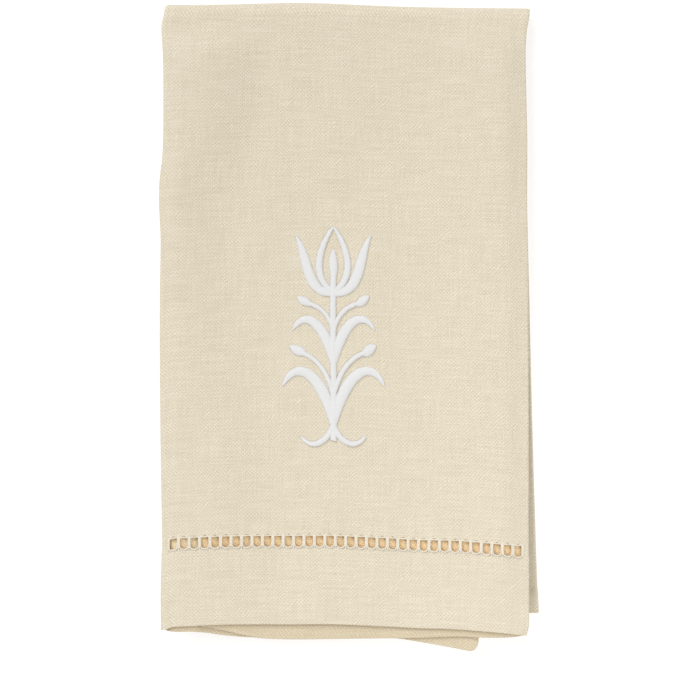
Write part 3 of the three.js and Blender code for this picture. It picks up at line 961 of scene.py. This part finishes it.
@dataclass
class Sprig:
    """The white sprig in padded satin stitch on the front panel."""

    fold: TowelFold
    centre: Pair = (-5.8, -3.6)
    ridge_pitch: float = 0.42
    ridge_height: float = 0.035
    edge_height: float = 0.14
    dome: float = 0.72
    unevenness: float = 0.05
    sunk: float = 0.12
    tip: float = 0.3
    slant: float = 0.25
    swell_start: float = 0.12
    swell_power: float = 0.6
    profile_power: float = 0.8
    fullness_power: float = 0.5
    ridge_overhang: float = 0.5
    foot_share: float = 0.6
    across_points: int = 11
    curve_points: int = 300
    sharp_angle: float = 80.0
    side: tuple[Stitched, ...] = (
        Stitched("root curl", ((0, -31), (1.5, -38), (8, -41.5), (11.5, -36)), 1.1, 0.7),
        Stitched("lower leaf", ((0, -32), (3, -15), (13, -6), (18.4, -18)), 2.1, 1),
        Stitched("lower stalk", ((0, -22), (2, -12), (6.5, -7.5), (11.5, -5.8)), 0.9, 0),
        Stitched("lower berry", ((10.6, -6.4), (12.1, -5.4), (13.9, -4.4), (15.4, -3.2)), 1.9, 1),
        Stitched("upper leaf", ((0, -10), (2.5, 4), (10, 11), (14.8, 2.2)), 1.9, 1),
        Stitched("upper stalk", ((0, 2), (1.5, 8), (5, 11), (9, 11.8)), 0.85, 0),
        Stitched("upper berry", ((8.4, 11.5), (9.8, 12.2), (11.6, 13.4), (12.8, 14.6)), 1.6, 1),
        Stitched("outer petal", ((0, 15.5), (10.5, 15.5), (8.5, 28), (13.6, 36.5)), 1.9, 1),
        Stitched("inner petal", ((0, 16), (6.6, 20), (7, 29), (0.2, 39.3)), 1.25, 0.7),
    )
    middle: tuple[Stitched, ...] = (
        Stitched("stem", ((0, -37.5), (0.5, -20), (-0.5, 0), (0, 23)), 1.15, 0),
        Stitched("heart", ((0, 21), (0, 24), (0, 28), (0, 31.5)), 1.6, 1),
    )
    parts: MeshParts = field(default_factory=MeshParts)

    def path(self, shape: Stitched, mirror: float) -> tuple[Array, Array]:
        """Walks evenly along a shape's curve.

        Args:
            shape: the stitched shape.
            mirror: 1 for the right half, -1 for the left.

        Returns:
            The points of its middle line, and each one's share of the way.
        """
        ends = np.array(shape.curve, dtype=float) * (mirror, 1.0)
        t = np.linspace(0.0, 1.0, self.curve_points)[:, None]
        weights = np.concatenate([(1 - t) ** 3, 3 * (1 - t) ** 2 * t, 3 * (1 - t) * t**2, t**3], axis=1)
        curve = weights @ ends
        length = np.concatenate([[0.0], np.cumsum(np.linalg.norm(np.diff(curve, axis=0), axis=1))])
        steps = 2 * max(4, round(length[-1] / self.ridge_pitch)) + 1
        even = np.linspace(0.0, length[-1], steps)
        points = np.stack([np.interp(even, length, curve[:, i]) for i in range(2)], axis=1)
        return points + np.array(self.centre), even / length[-1]

    def stitch(self, shape: Stitched, mirror: float) -> None:
        """Adds one padded shape, a ridge for each stitch.

        Args:
            shape: the stitched shape.
            mirror: 1 for the right half, -1 for the left.
        """
        line, share = self.path(shape, mirror)
        tangent = np.gradient(line, axis=0)
        tangent /= np.linalg.norm(tangent, axis=1, keepdims=True)
        swell = np.sin(math.pi * np.minimum(1.0, lerp(self.swell_start, 1.0, share))) ** self.swell_power
        half = np.maximum(self.tip, shape.half * lerp(1.0, swell, shape.taper))
        ridge = np.where(np.arange(len(line)) % 2 == 0, -1.0, 1.0) * self.ridge_height

        angle = np.linspace(math.pi, 0.0, self.across_points)
        sideways = np.concatenate([np.cos(angle), [self.foot_share, -self.foot_share]])
        height = np.concatenate([np.sin(angle) ** self.profile_power, [0.0, 0.0]])
        uneven = np.random.default_rng(len(self.parts.points)).normal(0, self.unevenness, len(line))
        width = half + self.ridge_overhang * ridge + uneven
        away = sideways[None] * width[:, None]
        lean = self.slant * sideways[None] * half[:, None]
        x = line[:, :1] - tangent[:, 1:] * away + tangent[:, :1] * lean
        y = line[:, 1:] + tangent[:, :1] * away + tangent[:, 1:] * lean
        fullness = np.minimum(1.0, half / shape.half) ** self.fullness_power
        above = self.edge_height + self.dome * height[None] * fullness[:, None] + ridge[:, None]
        above[:, [0, self.across_points - 1]] = 0.0
        above[:, self.across_points :] = -self.sunk
        u, v = self.fold.front_place(x.ravel(), y.ravel())
        points = self.fold.surface(u, v, above.ravel())

        along = np.broadcast_to(share[:, None] * len(line) * self.ridge_pitch / 2, x.shape)
        coordinates = np.stack([along.ravel(), away.ravel()], axis=1)
        self.parts.add(points, closed_tube_faces(len(line), len(sideways)), coordinates)

    def build(self, shift: Array) -> Object:
        """Makes the whole sprig, with its right half mirrored to the left.

        Args:
            shift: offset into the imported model's frame, in millimetres.

        Returns:
            The sprig.
        """
        for shape in self.middle:
            self.stitch(shape, 1.0)
        for shape in self.side:
            self.stitch(shape, 1.0)
            self.stitch(shape, -1.0)
        return self.parts.build("satin_stitch_sprig", shift, self.sharp_angle)


@dataclass
class Graph:
    """A node tree with short ways to add nodes and link them."""

    tree: bpy.types.NodeTree

    def node(self, kind: str, inputs: dict | None = None, **settings: object) -> bpy.types.Node:
        """Adds a node.

        Args:
            kind: its type's name.
            inputs: values or output sockets for its inputs, by name or number.
            settings: attributes to set on it.

        Returns:
            The node.
        """
        made = self.tree.nodes.new(kind)
        for name, value in settings.items():
            setattr(made, name, value)
        for name, value in (inputs or {}).items():
            if isinstance(value, Socket):
                self.tree.links.new(value, made.inputs[name])
            else:
                made.inputs[name].default_value = value
        return made

    def math(self, operation: str, *values: float | Socket) -> Socket:
        """Adds a math node.

        Args:
            operation: its operation's name.
            values: numbers or output sockets for its inputs.

        Returns:
            Its output.
        """
        return self.node("ShaderNodeMath", dict(enumerate(values)), operation=operation).outputs[0]

    def noise(
        self, vector: Socket, scale: float | Socket, detail: float = 2.0
    ) -> Socket:
        """Adds a noise texture.

        Args:
            vector: socket with the place where it is read.
            scale: how many of its lumps go on a millimetre.
            detail: how many finer layers it has.

        Returns:
            Its value.
        """
        made = self.node("ShaderNodeTexNoise", {"Vector": vector, "Scale": scale, "Detail": detail})
        return made.outputs[0]


class Effect:
    """A shader node group that several materials share, built once."""

    name = "effect"
    inputs: dict[str, float] = {}
    outputs: tuple[str, ...] = ()

    def build(self) -> bpy.types.NodeTree:
        """Makes the group with its sockets, and fills it.

        Returns:
            The group.
        """
        tree = bpy.data.node_groups.new(self.name, "ShaderNodeTree")
        for name, value in self.inputs.items():
            socket = tree.interface.new_socket(name=name, in_out="INPUT", socket_type="NodeSocketFloat")
            socket.default_value = value
        for name in self.outputs:
            tree.interface.new_socket(name=name, in_out="OUTPUT", socket_type="NodeSocketFloat")
        graph = Graph(tree)
        given = graph.node("NodeGroupInput").outputs
        results = self.fill(graph, given)
        made = graph.node("NodeGroupOutput")
        for name, socket in results.items():
            tree.links.new(socket, made.inputs[name])
        return tree

    def fill(self, graph: Graph, given: bpy.types.NodeOutputs) -> dict[str, Socket]:
        """Adds the group's nodes.

        Args:
            graph: the group's nodes.
            given: the group's inputs, by name.

        Returns:
            A socket for each output, by name.
        """
        raise NotImplementedError


class PlainWeave(Effect):
    """Over-and-under threads of a plain weave, with slubs along both."""

    name = "Plain weave"
    inputs = {"Pitch": 0.65, "Check Contrast": 0.5, "Slub Contrast": 1.0}
    outputs = ("Height", "Tone")
    drift: float = 1.6
    drift_scale: float = 0.2
    wobble_scale: float = 1.1
    wobble_share: float = 0.25
    roundness: float = 0.6
    slub_scale: Pair = (1.8, 0.07)
    slub_detail: float = 1.0
    warp_share: float = 0.9
    weft_share: float = 1.3
    slub_relief: float = 0.6
    patch_scale: float = 0.3
    patch_contrast: float = 3.0
    fuzz_scale: float = 2.6
    fuzz_detail: float = 3.0
    fuzz_contrast: float = 0.9
    mean_tone: float = 0.5

    def fill(self, graph: Graph, given: bpy.types.NodeOutputs) -> dict[str, Socket]:
        """Builds the weave from the cloth's own coordinates.

        Args:
            graph: the group's nodes.
            given: the group's inputs, by name.

        Returns:
            Its height and tone.
        """
        place = graph.node("ShaderNodeUVMap", uv_map=COORDINATES).outputs[0]
        broad, local = (graph.noise(place, scale) for scale in (self.drift_scale, self.wobble_scale))
        wobble = graph.math("MULTIPLY_ADD", local, self.wobble_share, broad)
        level = NOISE_MEAN * (1 + self.wobble_share)
        drift = graph.math("MULTIPLY", graph.math("SUBTRACT", wobble, level), self.drift)
        split = graph.node("ShaderNodeSeparateXYZ", {0: place})
        u = graph.math("ADD", split.outputs[0], drift)
        v = graph.math("SUBTRACT", split.outputs[1], drift)
        turns = [graph.math("DIVIDE", along, given["Pitch"]) for along in (u, v)]
        waves = [graph.math("SINE", graph.math("MULTIPLY", turn, math.pi)) for turn in turns]
        crossing = graph.math("MULTIPLY", *waves)
        bumps = graph.math("POWER", graph.math("ABSOLUTE", crossing), self.roundness)

        scales = [(*self.slub_scale, 1.0), (*self.slub_scale[::-1], 1.0)]
        stretched = [graph.node("ShaderNodeMapping", {0: place, 3: scale}).outputs[0] for scale in scales]
        warp, weft = (graph.noise(direction, 1.0, self.slub_detail) for direction in stretched)
        level = -NOISE_MEAN * (self.warp_share + self.weft_share)
        warp = graph.math("MULTIPLY_ADD", warp, self.warp_share, level)
        slub = graph.math("MULTIPLY_ADD", weft, self.weft_share, warp)
        contrast = graph.math("MULTIPLY", slub, given["Slub Contrast"])
        level = 1 - NOISE_MEAN * self.patch_contrast
        patches = graph.noise(place, self.patch_scale)
        patches = graph.math("MULTIPLY_ADD", patches, self.patch_contrast, level)
        checks = graph.math("MULTIPLY", graph.math("MULTIPLY", crossing, given["Check Contrast"]), patches)

        fuzz = graph.noise(place, self.fuzz_scale, self.fuzz_detail)
        level = self.mean_tone - NOISE_MEAN * self.fuzz_contrast
        tone = graph.math("MULTIPLY_ADD", fuzz, self.fuzz_contrast, level)
        relief = graph.math("MULTIPLY_ADD", contrast, self.slub_relief, bumps)
        return {
            "Height": graph.math("ADD", relief, fuzz),
            "Tone": graph.math("ADD", graph.math("ADD", checks, contrast), tone),
        }


class ThreadTwist(Effect):
    """Fine slanting plies along a sewing thread."""

    name = "Thread twist"
    inputs = {"Ply Pitch": 0.3, "Slant": 1.0, "Fuzz Scale": 4.0}
    outputs = ("Height", "Tone")
    ply_relief: float = 0.5
    ply_contrast: float = 0.12
    fuzz_detail: float = 4.0

    def fill(self, graph: Graph, given: bpy.types.NodeOutputs) -> dict[str, Socket]:
        """Builds slanting stripes and fuzz from the thread's own coordinates.

        Args:
            graph: the group's nodes.
            given: the group's inputs, by name.

        Returns:
            Its height and tone.
        """
        place = graph.node("ShaderNodeUVMap", uv_map=COORDINATES).outputs[0]
        split = graph.node("ShaderNodeSeparateXYZ", {0: place})
        slanted = graph.math("MULTIPLY_ADD", split.outputs[1], given["Slant"], split.outputs[0])
        turns = graph.math("DIVIDE", slanted, given["Ply Pitch"])
        stripe = graph.math("SINE", graph.math("MULTIPLY", turns, 2 * math.pi))
        fuzz = graph.noise(place, given["Fuzz Scale"], self.fuzz_detail)
        shares = {"Height": self.ply_relief, "Tone": self.ply_contrast}
        return {name: graph.math("MULTIPLY_ADD", stripe, share, fuzz) for name, share in shares.items()}


@dataclass(frozen=True)
class Finish:
    """A cloth or thread finish: two tones mixed by an effect and multiplied by the mesh's painted light and
    shade, its bump, and its sheen.
    """

    name: str
    dark: Shade
    light: Shade
    roughness: float
    sheen: float
    bump: float
    group_values: tuple[tuple[str, float], ...]
    sheen_roughness: float = 0.5
    specular: float = 0.25

    def material(self, effect: bpy.types.NodeTree) -> bpy.types.Material:
        """Makes the material.

        Args:
            effect: group that gives its height and tone.

        Returns:
            The material.
        """
        made = bpy.data.materials.new(self.name)
        made.use_nodes = True
        made.node_tree.nodes.clear()
        graph = Graph(made.node_tree)
        group = graph.node("ShaderNodeGroup", node_tree=effect)
        for name, value in self.group_values:
            group.inputs[name].default_value = value
        tones = {0: group.outputs["Tone"], 6: self.dark.rgba(), 7: self.light.rgba()}
        mixed = graph.node("ShaderNodeMix", tones, data_type="RGBA", clamp_factor=True)
        # Multiplies in the painted light and shade that the mesh carries.
        painted_light = graph.node("ShaderNodeAttribute", attribute_name=PAINTED_LIGHT).outputs["Color"]
        product = {0: 1.0, 6: mixed.outputs[2], 7: painted_light}
        multiply = {"data_type": "RGBA", "blend_type": "MULTIPLY", "clamp_result": True}
        colour_with_painted_light = graph.node("ShaderNodeMix", product, **multiply)
        relief = {"Height": group.outputs["Height"], "Distance": self.bump * MM, "Strength": 1.0}
        bump = graph.node("ShaderNodeBump", relief)
        shader = graph.node(
            "ShaderNodeBsdfPrincipled",
            {
                "Base Color": colour_with_painted_light.outputs[2],
                "Roughness": self.roughness,
                "Normal": bump.outputs[0],
                "Sheen Weight": self.sheen,
                "Sheen Roughness": self.sheen_roughness,
                "Specular IOR Level": self.specular,
            },
        )
        graph.node("ShaderNodeOutputMaterial", {"Surface": shader.outputs[0]})
        return made


LINEN = Finish(
    name="natural_linen",
    dark=Shade(0.60, 0.52, 0.368),
    light=Shade(0.85, 0.79, 0.668),
    roughness=0.9,
    sheen=0.1,
    bump=0.1,
    group_values=(("Pitch", 0.65), ("Check Contrast", 0.27), ("Slub Contrast", 0.42)),
)
IVORY_THREAD = Finish(
    name="ivory_hemstitch_thread",
    dark=Shade(0.74, 0.68, 0.56),
    light=Shade(0.85, 0.80, 0.70),
    roughness=0.8,
    sheen=0.1,
    bump=0.04,
    group_values=(("Ply Pitch", 0.32), ("Slant", 1.2), ("Fuzz Scale", 4.0)),
)
WHITE_THREAD = Finish(
    name="white_satin_thread",
    dark=Shade(0.68, 0.68, 0.68),
    light=Shade(0.80, 0.80, 0.80),
    roughness=0.75,
    sheen=0.1,
    bump=0.02,
    group_values=(("Ply Pitch", 0.21), ("Slant", 0.25), ("Fuzz Scale", 1.5)),
)


@dataclass
class Studio:
    """A pale floor, soft light from the upper left, and a camera straight above."""

    pixel: float = 0.36
    towel_origin: Pair = (349.5, 326.35)
    image_side: int = 700
    lens: float = 180.0
    sensor: float = 36.0
    floor_side: float = 3.0
    key_direction: Pair = (129.0, 44.0)
    key_strength: float = 1.83
    key_size: float = 45.0
    key_colour: Shade = Shade(0.985, 1.0, 1.05)
    fill_place: tuple[float, float, float] = (0.3, -0.35, 0.5)
    fill_size: float = 0.4
    fill_power: float = 1.5
    sky_strength: float = 0.53
    sky_colour: Shade = Shade(1.0, 0.975, 0.925)
    floor_colour: Shade = Shade(0.5, 0.5, 0.5)
    floor_roughness: float = 0.9
    floor_glow: float = 0.6
    clip: Pair = (0.01, 10.0)

    def floor(self) -> None:
        """Makes the floor, marked as stage."""
        half = self.floor_side / 2
        corners = [(-half, -half, 0), (half, -half, 0), (half, half, 0), (-half, half, 0)]
        mesh = bpy.data.meshes.new("floor")
        mesh.from_pydata(corners, [], [(0, 1, 2, 3)])
        made = bpy.data.materials.new("pale_floor")
        made.use_nodes = True
        shader = made.node_tree.nodes["Principled BSDF"]
        values = {
            "Base Color": self.floor_colour.rgba(),
            "Roughness": self.floor_roughness,
            "Emission Color": WHITE.rgba(),
            "Emission Strength": self.floor_glow,
        }
        for name, value in values.items():
            shader.inputs[name].default_value = value
        mesh.materials.append(made)
        linked("floor", mesh)

    def lights(self) -> None:
        """Adds the key light, a weak fill from the other side and the pale sky."""
        azimuth, elevation = (math.radians(a) for a in self.key_direction)
        key = bpy.data.lights.new("key", "SUN")
        key.energy = self.key_strength
        key.color = self.key_colour
        key.angle = math.radians(self.key_size)
        lamp = linked("key", key)
        across = math.cos(elevation)
        towards = Vector((across * math.cos(azimuth), across * math.sin(azimuth), math.sin(elevation)))
        lamp.rotation_euler = towards.to_track_quat("Z", "Y").to_euler()
        fill = bpy.data.lights.new("fill", "AREA")
        fill.energy = self.fill_power
        fill.size = self.fill_size
        lamp = linked("fill", fill)
        lamp.location = self.fill_place
        lamp.rotation_euler = Vector(self.fill_place).to_track_quat("Z", "Y").to_euler()
        world = bpy.data.worlds.new("sky")
        world.use_nodes = True
        background = world.node_tree.nodes["Background"]
        background.inputs["Color"].default_value = self.sky_colour.rgba()
        background.inputs["Strength"].default_value = self.sky_strength
        bpy.context.scene.world = world

    def camera(self, surface: float) -> None:
        """Adds the camera, straight above the towel.

        Args:
            surface: height of the front panel in millimetres, where the photo's scale holds.
        """
        data = bpy.data.cameras.new("camera")
        data.lens = self.lens
        data.sensor_width = self.sensor
        distance = self.pixel * self.image_side * self.lens / self.sensor
        data.clip_start, data.clip_end = self.clip
        camera = linked("camera", data)
        x = (self.image_side / 2 - self.towel_origin[0]) * self.pixel
        y = (self.towel_origin[1] - self.image_side / 2) * self.pixel
        camera.location = (x * MM, y * MM, (distance + surface) * MM)
        bpy.context.scene.camera = camera

    def build(self, surface: float) -> None:
        """Sets the whole studio up, and shows colours as they are.

        Args:
            surface: height of the front panel in millimetres, where the photo's scale holds.
        """
        self.floor()
        self.lights()
        self.camera(surface)
        bpy.context.scene.view_settings.view_transform = "Standard"
        bpy.context.scene.view_settings.look = "None"


def dress(obj: Object, material: bpy.types.Material, node: str | None = None) -> None:
    """Gives a piece its material and the body it rides on.

    Args:
        obj: the piece.
        material: its material.
        node: CAD node that it stands for, if any.
    """
    obj.data.materials.append(material)
    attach(obj, "root")
    if node:
        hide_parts(node)
    log.info("%s: %d faces", obj.name, len(obj.data.polygons))


def main() -> None:
    """Builds the studio and the towel, piece by piece."""
    logging.basicConfig(level=logging.INFO, format="%(name)s %(message)s")
    fold = TowelFold()
    Studio().build(surface=2 * fold.arc_height)

    weave = PlainWeave().build()
    twist = ThreadTwist().build()

    low, high = (np.array(corner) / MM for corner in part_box(CLOTH_NODE))
    hemstitch = Hemstitch(fold)
    cloth, shift = TowelCloth(fold, hemstitch).build((low + high) / 2)
    dress(cloth, LINEN.material(weave), CLOTH_NODE)

    threads = hemstitch.build(shift)
    dress(threads, IVORY_THREAD.material(twist))

    sprig = Sprig(fold).build(shift)
    dress(sprig, WHITE_THREAD.material(twist), SPRIG_NODE)


if __name__ == "__main__":
    main()
